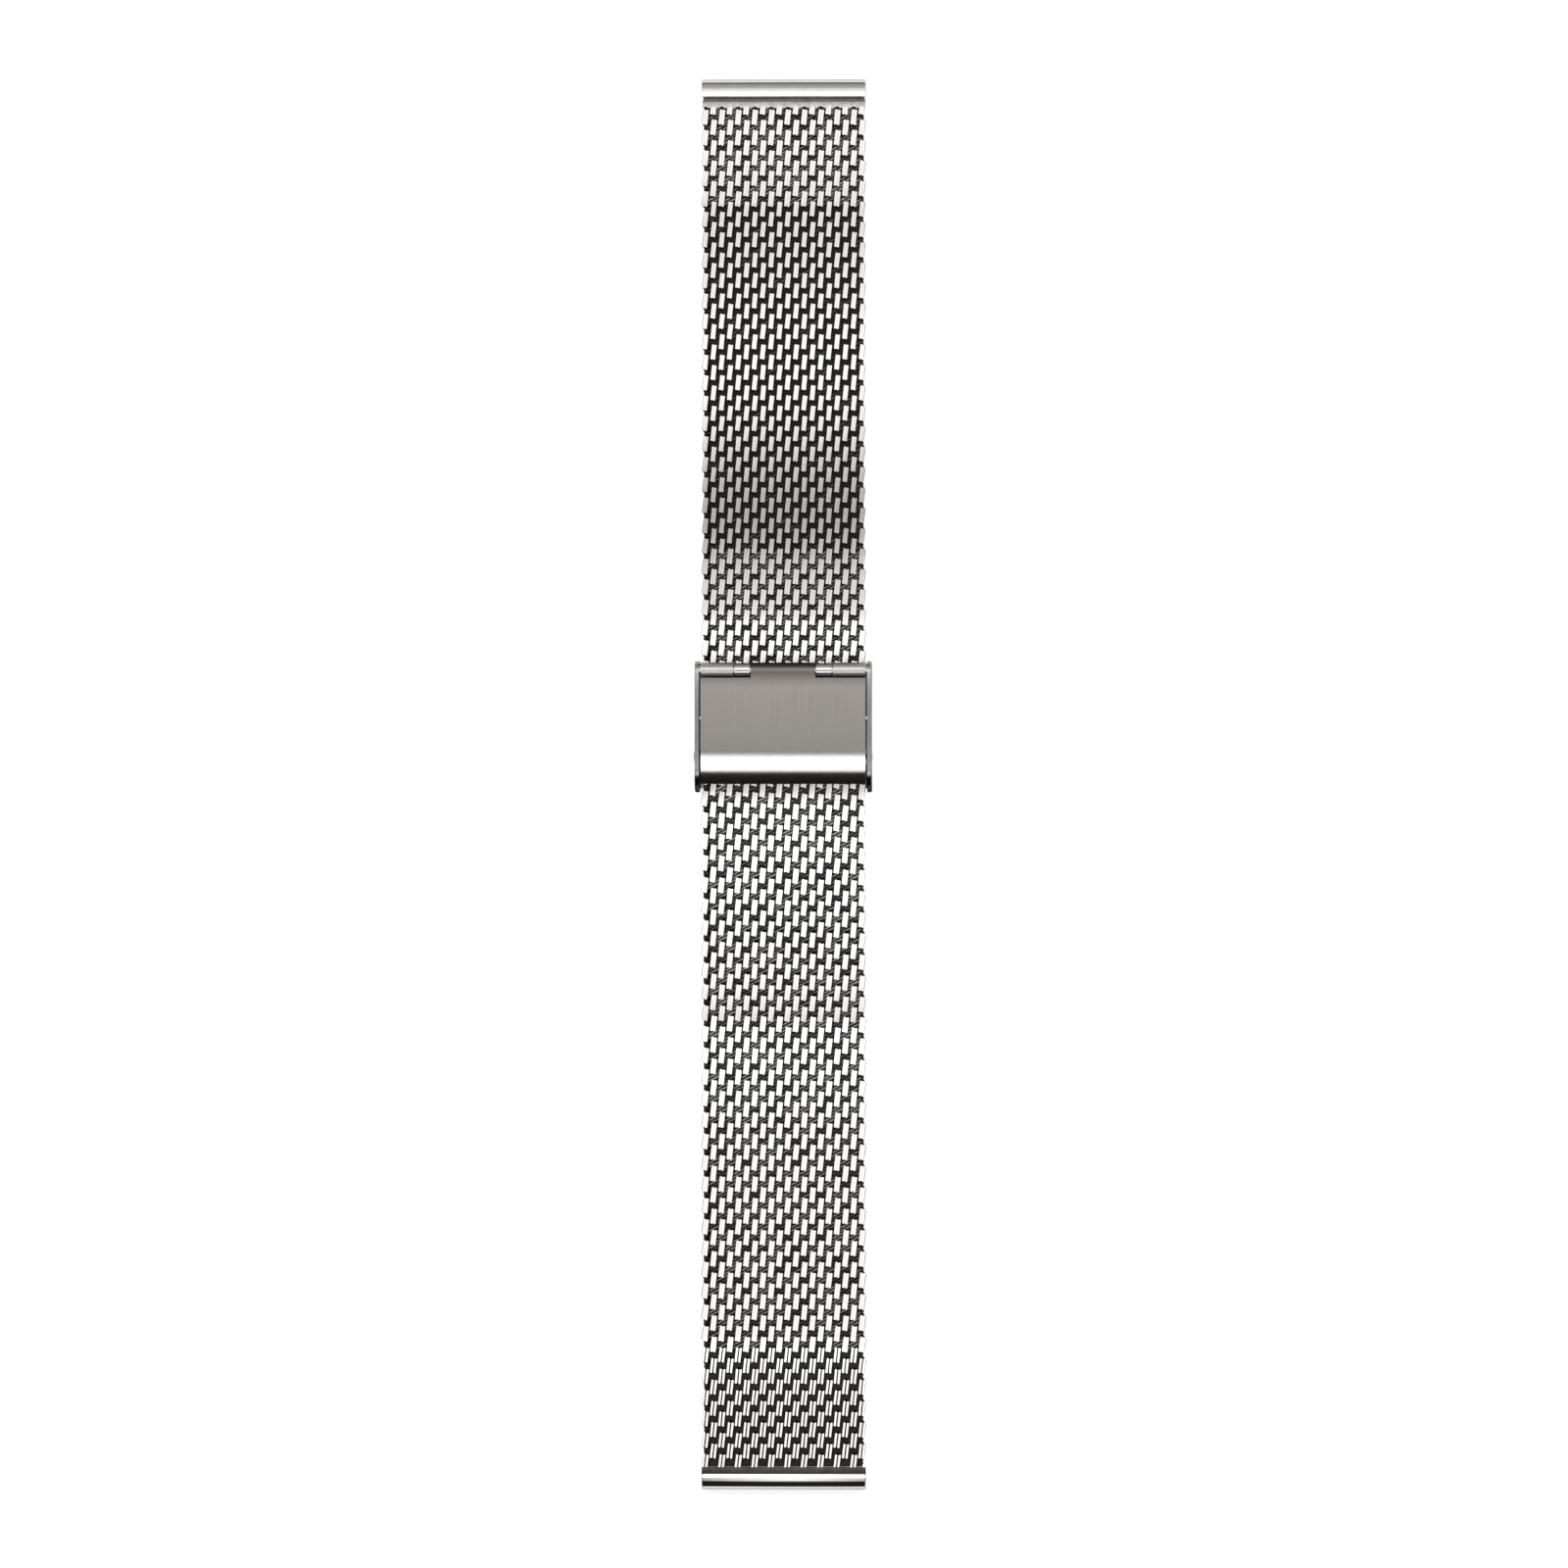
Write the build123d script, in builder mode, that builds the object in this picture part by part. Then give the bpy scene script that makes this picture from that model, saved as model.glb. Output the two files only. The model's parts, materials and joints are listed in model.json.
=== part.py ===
from build123d import *
from math import asin, atan, cos, radians, sin, tan
import os

# Milanese mesh watch band, closed, lying on its wrist side.
# X runs across the band, Y along it towards the long strap's lug, Z up, away from the wrist.
# The origin is on the table, under the middle of the closed band. Sizes are in millimetres.

# Mesh: rows of flattened coils side by side, each row one coil wound across the band
mesh_width = 19.6
mesh_thickness = 1.5
mesh_edge_chamfer = 0.4
row_hollow = 0.16
row_slope_share = 0.3
hinge_gap = 0.04

# Lug ends: a tube for the spring bar, with a lip that the mesh is soldered to
tube_diameter = 2.4
tube_bore = 1.6
tube_overhang = 0.15
tube_chamfer = 0.15
lip_reach = 0.33
lip_height = 1.2

# Long strap, from its free tip in the clasp to its lug
long_row_pitch = 1.235
long_clasp_rows = 17
long_segment_rows = 7
long_segments = 7
long_bend = 25
tip_length = 0.9
tip_fillet = 0.3

# Short strap, from the hook in the clasp to its lug
short_row_pitch = 1.291
short_clasp_rows = 11
short_segment_rows = 7
short_segments = 8
short_bend = 22
ramp_segments = 2

# A hinge's two wedge faces leave room for its whole bend and this much more
bend_spare = 2

# Clasp box, whose front is where the short strap comes out, and how far in each strap's mesh starts
clasp_length = 15.85
long_strap_set_in = 2.01
short_strap_set_in = 4.806
side_sheet = 0.55
side_chamfer = 0.1
side_nose_radius = 2.6
side_foot_fillet = 0.5
side_back_fillet = 1.3
plate_sheet = 0.35
back_sheet = 0.3
keeper_length = 3.0
slide_gap = 0.05
stack_gap = 0.1
middle_gap = 0.3

# Cover and the hinge that it turns on
cover_sheet = 0.45
cover_side_gap = 0.2
cover_set_back = 1.0
cover_crown = 0.12
cover_room = 0.8
cover_edge_gap = 0.1
slope_length = 2.75
slope_turn = 10
roll_length = 1.46
roll_turn = 30
hinge_from_back = 1.07
pin_radius = 0.5
pin_gap = 0.05
barrel_bend = 0.6
tongue_width = 7.8
sleeve_length = 1.9
sleeve_step = 0.05
knuckle_gap = 0.1
cut_gap = 0.05

# Snap catch of the cover: a bumped tab on each side, and a dimple in each side plate
snap_from_front = 4.35
snap_tab_length = 1.6
snap_tab_height = 1.1
snap_drop = 0.95
snap_bump_radius = 0.4
snap_bump_reach = 0.1
dimple_radius = 0.6
dimple_rise = 0.12
dimple_taper = 35

# Hook of the short strap and the bar that it hooks on
hook_set_in = 1.3
hook_lap = 1.5
hook_corner = 1.2
hook_curl = 110
bar_radius = 0.45
bar_gap = 0.05
bar_from_hinge = 5.8

# Locking flap on the back, which holds the long strap where it is set
flap_from_front = 5.35
flap_set_back = 0.6
flap_notch_radius = 1.3
flap_corner = 0.8
ridge_width = 0.6
ridge_set_in = 0.8
ridge_from_free_end = 2.0
ear_sheet = 0.25
ear_radius = 0.75
ear_length = 2.6
rivet_radius = 0.4
rivet_gap = 0.05
rivet_from_hinge = 1.85
rivet_height = 1.0

# Levels of the stack, from the table up
strap_centre = tube_diameter / 2
strap_bottom = strap_centre - mesh_thickness / 2
strap_top = strap_centre + mesh_thickness / 2
middle_bottom = strap_top + slide_gap
short_centre = strap_top + stack_gap + mesh_thickness / 2
hook_bottom = short_centre + mesh_thickness / 2
bar_height = hook_bottom - bar_gap - bar_radius
cover_top = hook_bottom + plate_sheet + cover_room + cover_sheet
barrel_radius = pin_radius + pin_gap + plate_sheet
hinge_height = cover_top - barrel_radius
side_top = cover_top - cover_edge_gap
snap_height = cover_top - snap_drop

# Length of each strap from its start in the clasp to its lug's face.
# The short strap comes out of the clasp high and slopes down to the table's level.
long_segment = long_segment_rows * long_row_pitch
long_clasp_stretch = long_clasp_rows * long_row_pitch
long_strap = long_clasp_stretch + long_segments * long_segment
short_segment = short_segment_rows * short_row_pitch
short_clasp_stretch = short_clasp_rows * short_row_pitch
ramp_length = ramp_segments * short_segment
ramp_angle = asin((short_centre - strap_centre) / ramp_length)
ramp_loss = ramp_length * (1 - cos(ramp_angle))
short_strap = short_clasp_stretch + short_segments * short_segment - ramp_loss

# Places along the band, with the origin halfway between its two ends
lug_length = tube_diameter + lip_reach
long_end = long_strap_set_in + long_strap + lug_length
short_end = short_strap_set_in - short_strap - lug_length
clasp_front = -(long_end + short_end) / 2
clasp_back = clasp_front + clasp_length
long_start = clasp_front + long_strap_set_in
short_start = clasp_front + short_strap_set_in
band_length = long_end - short_end
lug_face = band_length / 2 - lug_length
tube_place = band_length / 2 - tube_diameter / 2
cover_front = clasp_front + cover_set_back
hinge_place = clasp_back - hinge_from_back
bar_place = hinge_place - bar_from_hinge
rivet_place = hinge_place - rivet_from_hinge
flap_free_end = clasp_front + flap_from_front
snap_place = clasp_front + snap_from_front

# Places across the band. The flap's ears lie between the long strap and the side plates.
ear_inner = mesh_width / 2 + slide_gap
side_inner = ear_inner + ear_sheet + slide_gap
side_outer = side_inner + side_sheet
cover_half = side_inner - cover_side_gap
barrel_start = tongue_width / 2 + knuckle_gap + sleeve_length + knuckle_gap


def mesh_plane(place, height, heading, drop=0.0):
    """The upright plane along a stretch of mesh: local x runs along it, local y away from the wrist."""
    along = (0, heading * cos(drop), -sin(drop))
    return Plane(origin=(0, place, height), x_dir=along, z_dir=(heading, 0, 0))


def mesh_section(plane):
    """The mesh cut across: flat, with its edges taken off."""
    with BuildSketch(plane) as section:
        Rectangle(mesh_width, mesh_thickness)
        chamfer(section.vertices(), mesh_edge_chamfer)
    return section.sketch


def mesh_stretch(name, plane, rows, pitch, bends):
    """One stretch of mesh. bends holds the bend of the hinge at its start and its end, or 0 for none."""
    half = mesh_thickness / 2
    valley = half - row_hollow
    slope = row_slope_share * pitch
    length = rows * pitch
    gaps = [hinge_gap if bend else 0 for bend in bends]
    insets = [valley * tan(radians(bend / 2 + bend_spare)) if bend else 0 for bend in bends]
    marks = [row * pitch for row in range(rows + 1)]
    marks[0] = gaps[0] + insets[0]
    marks[-1] = length - gaps[1] - insets[1]
    with BuildPart() as stretch:
        with BuildSketch(plane):
            with BuildLine():
                for face in (1, -1):
                    for start, end in zip(marks, marks[1:]):
                        Polyline(
                            (start, face * valley),
                            (start + slope, face * half),
                            (end - slope, face * half),
                            (end, face * valley),
                        )
                    Line((gaps[0], 0), (marks[0], face * valley))
                    Line((length - gaps[1], 0), (marks[-1], face * valley))
            make_face()
        extrude(amount=mesh_width / 2, both=True)
        section = mesh_section(Plane(origin=plane.origin, x_dir=plane.z_dir, z_dir=plane.x_dir))
        extrude(section, amount=length, mode=Mode.INTERSECT)
    stretch.part.label = name
    export_step(stretch.part, f"parts/{name}.step")


def lug_tube(name, heading):
    """The tube that a spring bar goes through, with its lip towards the mesh."""
    centre = heading * tube_place
    lip_end = heading * lug_face
    with BuildPart() as tube:
        with BuildSketch(Plane.YZ):
            with Locations((centre, strap_centre)):
                Circle(tube_diameter / 2)
        extrude(amount=mesh_width / 2 + tube_overhang, both=True)
        chamfer(tube.edges().filter_by(GeomType.CIRCLE), tube_chamfer)
        with BuildSketch(Plane.YZ):
            with Locations(((centre + lip_end) / 2, strap_centre)):
                Rectangle(abs(centre - lip_end), lip_height)
        extrude(amount=mesh_width / 2, both=True)
        with BuildSketch(Plane.YZ):
            with Locations((centre, strap_centre)):
                Circle(tube_bore / 2)
        extrude(amount=mesh_width, both=True, mode=Mode.SUBTRACT)
    tube.part.label = name
    export_step(tube.part, f"parts/{name}.step")


def side_plate(name, side):
    """An upright side wall, which carries the pins of the clasp. side is -1 on the left, 1 on the right."""
    inner_face = Plane.YZ.offset(side * side_inner)
    with BuildPart() as plate:
        with BuildSketch(inner_face) as outline:
            with BuildLine():
                nose_start = (clasp_front + side_nose_radius, side_top)
                nose = JernArc(nose_start, (-1, 0), side_nose_radius, 90)
                Polyline(nose @ 1, (clasp_front, 0), (clasp_back, 0), (clasp_back, side_top), nose @ 0)
            make_face()
            fillet(outline.vertices().group_by(Axis.Y)[0], side_foot_fillet)
            fillet(outline.vertices().group_by(Axis.X)[-1].sort_by(Axis.Y)[-1], side_back_fillet)
        extrude(amount=side * side_sheet)
        outer_face = plate.faces().sort_by(Axis.X)[0 if side < 0 else -1]
        chamfer(outer_face.edges(), side_chamfer)
        with BuildSketch(Plane.YZ.offset(side * side_outer)):
            with Locations((snap_place, snap_height)):
                Circle(dimple_radius)
        extrude(amount=side * dimple_rise, taper=dimple_taper)
        with BuildSketch(inner_face):
            with Locations((snap_place, snap_height)):
                Circle(dimple_radius - dimple_rise)
        extrude(amount=side * dimple_rise, mode=Mode.SUBTRACT)
        with BuildSketch(inner_face):
            with Locations((hinge_place, hinge_height)):
                Circle(pin_radius)
            with Locations((bar_place, bar_height)):
                Circle(bar_radius)
            with Locations((rivet_place, rivet_height)):
                Circle(rivet_radius)
        extrude(amount=side * side_sheet, mode=Mode.SUBTRACT)
    plate.part.label = name
    export_step(plate.part, f"parts/{name}.step")


os.makedirs("parts", exist_ok=True)

# Long strap: the stretch that stays straight in the clasp, then the ones that bend, up to the lug
mesh_stretch(
    "long_mesh_in_clasp",
    mesh_plane(long_start, strap_centre, 1),
    long_clasp_rows,
    long_row_pitch,
    (0, long_bend),
)
for number in range(1, long_segments + 1):
    hinge = long_start + long_clasp_stretch + (number - 1) * long_segment
    mesh_stretch(
        f"long_mesh_{number}",
        mesh_plane(hinge, strap_centre, 1),
        long_segment_rows,
        long_row_pitch,
        (long_bend, long_bend if number < long_segments else 0),
    )
    print(f"long hinge {number}: y {hinge:.4f}, z {strap_centre:.4f}")

# Short strap: the stretch that carries the hook, then the ones that bend, down to its lug
mesh_stretch(
    "short_mesh_in_clasp",
    mesh_plane(short_start, short_centre, -1),
    short_clasp_rows,
    short_row_pitch,
    (0, short_bend),
)
hinge = short_start - short_clasp_stretch
height = short_centre
for number in range(1, short_segments + 1):
    drop = ramp_angle if number <= ramp_segments else 0.0
    mesh_stretch(
        f"short_mesh_{number}",
        mesh_plane(hinge, height, -1, drop),
        short_segment_rows,
        short_row_pitch,
        (short_bend, short_bend if number < short_segments else 0),
    )
    print(f"short hinge {number}: y {hinge:.4f}, z {height:.4f}")
    hinge -= short_segment * cos(drop)
    height -= short_segment * sin(drop)

lug_tube("long_strap_lug_tube", 1)
lug_tube("short_strap_lug_tube", -1)

# Tip of the long strap: its mesh end filled and rounded, so that it slides through the clasp
with BuildPart() as tip:
    tip_plane = Plane(origin=(0, long_start, strap_centre), x_dir=(1, 0, 0), z_dir=(0, -1, 0))
    extrude(mesh_section(tip_plane), amount=tip_length)
    fillet(tip.faces().sort_by(Axis.Y)[0].edges(), tip_fillet)
tip.part.label = "long_strap_tip"
export_step(tip.part, "parts/long_strap_tip.step")

side_plate("left_side_plate", -1)
side_plate("right_side_plate", 1)

# Middle plate: the floor of the hook's room, with a tab on each side curled round the hinge pin
tab_length = cover_half - barrel_start
middle_start = short_start + middle_gap
with BuildPart() as middle:
    with BuildSketch(Plane.XY.offset(middle_bottom)):
        with Locations((0, (middle_start + hinge_place) / 2)):
            Rectangle(2 * side_inner, hinge_place - middle_start)
    extrude(amount=plate_sheet)
    for side in (-1, 1):
        with BuildSketch(Plane.YZ.offset(side * (barrel_start + tab_length / 2))):
            with BuildLine():
                FilletPolyline(
                    (middle_start, middle_bottom),
                    (hinge_place + barrel_radius, middle_bottom),
                    (hinge_place + barrel_radius, hinge_height),
                    radius=barrel_bend,
                )
                offset(amount=plate_sheet, side=Side.LEFT)
            make_face()
            with Locations((hinge_place, hinge_height)):
                Circle(barrel_radius)
                Circle(pin_radius + pin_gap, mode=Mode.SUBTRACT)
        extrude(amount=tab_length / 2, both=True)
middle.part.label = "middle_plate"
export_step(middle.part, "parts/middle_plate.step")

# Hinge pin, riveted in both side plates
with BuildPart() as pin:
    with BuildSketch(Plane.YZ):
        with Locations((hinge_place, hinge_height)):
            Circle(pin_radius)
    extrude(amount=side_outer, both=True)
pin.part.label = "hinge_pin"
export_step(pin.part, "parts/hinge_pin.step")

# Two spacer sleeves on the pin, between the cover's tongue and the outer barrels
for name, side in (("left_hinge_sleeve", -1), ("right_hinge_sleeve", 1)):
    with BuildPart() as sleeve:
        with BuildSketch(Plane.YZ.offset(side * (tongue_width / 2 + knuckle_gap))):
            with Locations((hinge_place, hinge_height)):
                Circle(barrel_radius - sleeve_step)
                Circle(pin_radius, mode=Mode.SUBTRACT)
        extrude(amount=side * sleeve_length)
    sleeve.part.label = name
    export_step(sleeve.part, f"parts/{name}.step")

# Cross bar that the hook hooks on
with BuildPart() as bar:
    with BuildSketch(Plane.YZ):
        with Locations((bar_place, bar_height)):
            Circle(bar_radius)
    extrude(amount=side_outer, both=True)
bar.part.label = "cross_bar"
export_step(bar.part, "parts/cross_bar.step")

# Hook plate, soldered on the short strap's mesh and curled over the cross bar
with BuildPart() as hook:
    with BuildSketch(Plane.YZ):
        with BuildLine():
            flat = Line((short_start - hook_lap, hook_bottom), (bar_place, hook_bottom))
            JernArc(flat @ 1, (1, 0), bar_radius + bar_gap, -hook_curl)
            offset(amount=plate_sheet, side=Side.LEFT)
        make_face()
    extrude(amount=mesh_width / 2 - hook_set_in, both=True)
    fillet(hook.edges().filter_by(Axis.Z).group_by(Axis.Y)[0], hook_corner)
hook.part.label = "hook_plate"
export_step(hook.part, "parts/hook_plate.step")

# Keeper strip across the back, which holds the long strap's tip up in its channel
with BuildPart() as keeper:
    with BuildSketch(Plane.XY):
        with Locations((0, clasp_front + side_foot_fillet + keeper_length / 2)):
            Rectangle(2 * side_inner, keeper_length)
    extrude(amount=back_sheet)
keeper.part.label = "keeper_strip"
export_step(keeper.part, "parts/keeper_strip.step")

# Cover: a crowned sheet that slopes down and then rolls down at its free end, with a tongue curled
# round the hinge pin. Tilts are from level, at the end of the crown, of the slope and of the roll.
slope_start = cover_front + roll_length + slope_length
crown_tilt = 2 * atan(2 * cover_crown / (hinge_place - slope_start))
slope_tilt = crown_tilt + radians(slope_turn)
roll_tilt = slope_tilt + radians(roll_turn)
slope_radius = slope_length / (sin(slope_tilt) - sin(crown_tilt))
roll_radius = roll_length / (sin(roll_tilt) - sin(slope_tilt))
cut_start = hinge_place - barrel_radius - cut_gap
with BuildPart() as cover:
    with BuildSketch(Plane.YZ):
        with BuildLine():
            crown_middle = ((hinge_place + slope_start) / 2, cover_top + cover_crown)
            crown = ThreePointArc((hinge_place, cover_top), crown_middle, (slope_start, cover_top))
            slope = JernArc(crown @ 1, crown % 1, slope_radius, slope_turn)
            JernArc(slope @ 1, slope % 1, roll_radius, roll_turn)
            offset(amount=cover_sheet, side=Side.LEFT)
        make_face()
    extrude(amount=cover_half, both=True)
    with BuildSketch(Plane.XY):
        for side in (-1, 1):
            with Locations((side * (tongue_width + cover_half) / 2, cut_start + barrel_radius)):
                Rectangle(cover_half, 2 * barrel_radius)
    extrude(amount=2 * cover_top, mode=Mode.SUBTRACT)
    with BuildSketch(Plane.YZ):
        with Locations((hinge_place, hinge_height)):
            Circle(barrel_radius)
    extrude(amount=tongue_width / 2, both=True)
    with BuildSketch(Plane.YZ):
        with Locations((hinge_place, hinge_height)):
            Circle(pin_radius + pin_gap)
    extrude(amount=tongue_width, both=True, mode=Mode.SUBTRACT)
    for side in (-1, 1):
        with BuildSketch(Plane.YZ.offset(side * cover_half)):
            with Locations((snap_place, cover_top - cover_sheet / 2 - snap_tab_height / 2)):
                Rectangle(snap_tab_length, snap_tab_height)
        extrude(amount=-side * plate_sheet)
        with BuildSketch(Plane.YZ.offset(side * cover_half)):
            with Locations((snap_place, snap_height)):
                Circle(snap_bump_radius)
        extrude(amount=side * snap_bump_reach, taper=dimple_taper)
cover.part.label = "cover"
export_step(cover.part, "parts/cover.step")

# Locking flap: a plate between two ears, with a ridge that bites between two rows of the mesh
flap_root = rivet_place - flap_set_back
ridge_place = flap_free_end + ridge_from_free_end
with BuildPart() as flap:
    with BuildSketch(Plane.XY) as flap_outline:
        with Locations((0, (flap_root + flap_free_end) / 2)):
            Rectangle(2 * (ear_inner + ear_sheet), flap_root - flap_free_end)
        fillet(flap_outline.vertices().group_by(Axis.Y)[0], flap_corner)
        with Locations((0, flap_free_end)):
            Circle(flap_notch_radius, mode=Mode.SUBTRACT)
    extrude(amount=back_sheet)
    with BuildSketch(Plane.YZ):
        with BuildLine():
            Polyline(
                (ridge_place - ridge_width / 2, back_sheet),
                (ridge_place, strap_bottom - slide_gap),
                (ridge_place + ridge_width / 2, back_sheet),
                close=True,
            )
        make_face()
    extrude(amount=mesh_width / 2 - ridge_set_in, both=True)
    for side in (-1, 1):
        with BuildSketch(Plane.YZ.offset(side * ear_inner)):
            with Locations((rivet_place - ear_length / 2, rivet_height / 2)):
                Rectangle(ear_length, rivet_height)
            with Locations((rivet_place, rivet_height)):
                Circle(ear_radius)
            with Locations((rivet_place, rivet_height)):
                Circle(rivet_radius + rivet_gap, mode=Mode.SUBTRACT)
        extrude(amount=side * ear_sheet)
flap.part.label = "locking_flap"
export_step(flap.part, "parts/locking_flap.step")

# The flap's two rivets, flush with its ears inside and with the side plates outside
for name, side in (("left_flap_rivet", -1), ("right_flap_rivet", 1)):
    with BuildPart() as rivet:
        with BuildSketch(Plane.YZ.offset(side * ear_inner)):
            with Locations((rivet_place, rivet_height)):
                Circle(rivet_radius)
        extrude(amount=side * (side_outer - ear_inner))
    rivet.part.label = name
    export_step(rivet.part, f"parts/{name}.step")

print(f"cover hinge: y {hinge_place:.4f}, z {hinge_height:.4f}")
print(f"flap rivet: y {rivet_place:.4f}, z {rivet_height:.4f}")
print(f"short strap starts at y {short_start:.4f}, long strap at y {long_start:.4f}")
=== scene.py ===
# %% [markdown]
# A milanese mesh watch band, closed, lying on a white table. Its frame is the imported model: the solids
# with their joints. This lesson dresses that frame. The mesh becomes real wire coils, the sheet parts get
# crisp worn edges, and each metal gets its own finish.
#
# The frame has to load first, because every piece is placed by it.

# %% Load the frame
import json
from math import atan, cos, pi, radians, sin, tan

import bmesh
import bpy
from mathutils import Matrix, Vector, noise


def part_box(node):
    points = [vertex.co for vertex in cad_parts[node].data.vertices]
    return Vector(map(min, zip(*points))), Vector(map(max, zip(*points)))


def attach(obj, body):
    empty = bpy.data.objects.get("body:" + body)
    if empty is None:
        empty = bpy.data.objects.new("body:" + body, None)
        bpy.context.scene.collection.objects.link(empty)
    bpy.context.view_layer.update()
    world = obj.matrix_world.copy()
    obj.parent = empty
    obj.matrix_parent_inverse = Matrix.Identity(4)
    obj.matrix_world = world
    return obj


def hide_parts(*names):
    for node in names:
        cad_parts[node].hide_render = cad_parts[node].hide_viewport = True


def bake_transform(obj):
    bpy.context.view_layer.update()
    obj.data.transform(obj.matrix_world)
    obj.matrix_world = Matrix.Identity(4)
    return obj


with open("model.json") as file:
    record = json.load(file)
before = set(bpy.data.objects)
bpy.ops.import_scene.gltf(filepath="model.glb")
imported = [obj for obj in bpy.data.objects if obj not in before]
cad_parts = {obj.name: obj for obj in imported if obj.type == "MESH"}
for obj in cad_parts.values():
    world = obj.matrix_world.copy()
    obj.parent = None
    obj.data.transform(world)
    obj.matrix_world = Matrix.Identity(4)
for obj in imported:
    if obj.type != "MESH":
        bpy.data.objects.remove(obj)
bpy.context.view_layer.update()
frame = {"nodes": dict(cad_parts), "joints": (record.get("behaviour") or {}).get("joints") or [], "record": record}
mm = 0.001

# %% [markdown]
# The photo looks straight down on the band through a long lens, from very slightly to its right: the outer
# face of the right side plate just shows, and higher parts sit a little further to the left than lower
# ones. A camera can be aimed by hand, but here its place follows from that lean, from the width of the table
# that the picture shows, and from how far away it stands.

# %% The camera, at the photo's angle
picture_width = 189.9 * mm
camera_distance = 1.5
camera_lean = radians(1.6)
picture_centre = Vector((-0.01, 0.06, 0)) * mm
sensor_width = 36

camera = bpy.data.cameras.new("camera")
camera.sensor_width = sensor_width
camera.lens = sensor_width * camera_distance / picture_width
camera.clip_end = 10
camera_object = bpy.data.objects.new("camera", camera)
camera_object.rotation_euler = (0, camera_lean, 0)
camera_object.location = picture_centre + camera_distance * Vector((sin(camera_lean), 0, cos(camera_lean)))
bpy.context.scene.collection.objects.link(camera_object)
bpy.context.scene.camera = camera_object
bpy.context.scene.view_settings.view_transform = "Standard"
print(f"camera {camera_distance} m away, lens {camera.lens:.0f} mm")

# %% [markdown]
# Polished wire has no colour of its own: it shows the room. The photo's room is a low white tent over the
# band, dim above the clasp, where the lens looks in, and dark beyond its lower end. Lamps of that size, set
# low, give the same bright bars and black gaps. They are area lamps, which the camera doesn't see. A flat
# crest mirrors what is straight above it, so each panel sets how bright the metal below it is.
#
# The lower part of the tent must light the strap right below it and still leave the clasp's rolled front
# dark. A studio puts a grid of deep cells on the lamp for that. Here it is the lamp's spread. Two narrow
# panels hang low, one before the clasp and one behind it, so that the last rows shine and the cover doesn't.
# The cloth is nearly black where the upper strap's wires are grey, bright above that, and dull for a
# stretch before its bright end. A white card stands some way in from each lug tube and widens the
# highlight on it.

# %% Lamps of the tent
def softbox(name, across, along, place, turn, brightness, grid=pi):
    """A flat lamp that shines down, turned about X. Its surface has this brightness, where 1 is white."""
    lamp = bpy.data.lights.new(name, "AREA")
    lamp.shape = "RECTANGLE"
    lamp.size = across
    lamp.size_y = along
    lamp.spread = grid
    kept_by_grid = 1 if grid == pi else 1 - grid / 2 / tan(grid / 2)
    lamp.energy = brightness * kept_by_grid * pi * across * along
    lamp_object = bpy.data.objects.new(name, lamp)
    lamp_object.location = place
    lamp_object.rotation_euler = (turn, 0, 0)
    lamp_object.visible_camera = False
    bpy.context.scene.collection.objects.link(lamp_object)


def tent_panel(name, start, end, height, brightness, grid=pi):
    """A level part of the tent, from start to end along the band."""
    softbox(name, tent_width, end - start, (0, (start + end) / 2, height), 0, brightness, grid)


def standing_card(name, place, foot, top, turn, brightness):
    """A white card that stands across the band, over its wires, and only shows on one side."""
    softbox(name, card_width, top - foot, (0, place, (foot + top) / 2), turn, brightness)


tent_width = 320 * mm
tent_height = 110 * mm
near_height = 60 * mm
low_height = 25 * mm
card_width = 60 * mm
tent_panel("lower_tent", -138 * mm, -25 * mm, tent_height, 1.65, grid=radians(56))
tent_panel("lower_gap_tent", -38 * mm, -24 * mm, near_height, 1.2, grid=radians(40))
tent_panel("near_lower_tent", -25 * mm, -7 * mm, near_height, 1.8)
tent_panel("lens_side", -8 * mm, 26 * mm, tent_height, 0.36)
tent_panel("clasp_side_tent", -8.5 * mm, -1.5 * mm, low_height, 1.3)
tent_panel("hinge_side_tent", 15.2 * mm, 20 * mm, low_height, 1.15)
tent_panel("near_upper_tent", 20 * mm, 29 * mm, near_height, 0.75)
tent_panel("upper_shade", 30 * mm, 43.5 * mm, tent_height, 0.14)
tent_panel("upper_tent", 43.5 * mm, 60 * mm, tent_height, 1.45)
tent_panel("upper_thin_cloth", 60 * mm, 69 * mm, tent_height, 1.1)
tent_panel("upper_dull_cloth", 69 * mm, 78 * mm, tent_height, 0.55)
tent_panel("upper_end_tent", 78 * mm, 92 * mm, tent_height, 1.5)
tent_panel("back_cloth", 92 * mm, 150 * mm, tent_height, 0.45)
tent_panel("far_back_cloth", 150 * mm, 330 * mm, tent_height, 0.25)
standing_card("upper_lug_card", 68 * mm, 2.4 * mm, 45 * mm, radians(96), 1.5)
standing_card("lower_lug_card", -69 * mm, 10 * mm, 45 * mm, -radians(85), 1.5)

# %% [markdown]
# The room around the tent only shows in the metal. It is grey behind the band and dark in front of it and
# near the floor, so that round parts get the thin black lines that the photo has. A pale wall runs round
# the horizon, far away.

# %% The room
def link(tree, start, end):
    """Joins the output of one node to the input of another."""
    tree.links.new(start, end)


def node(tree, kind, **inputs):
    """Adds a shader node and sets its inputs by name, where _ stands for a space."""
    made = tree.nodes.new(kind)
    for name, value in inputs.items():
        made.inputs[name.replace("_", " ")].default_value = value
    return made


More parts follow.
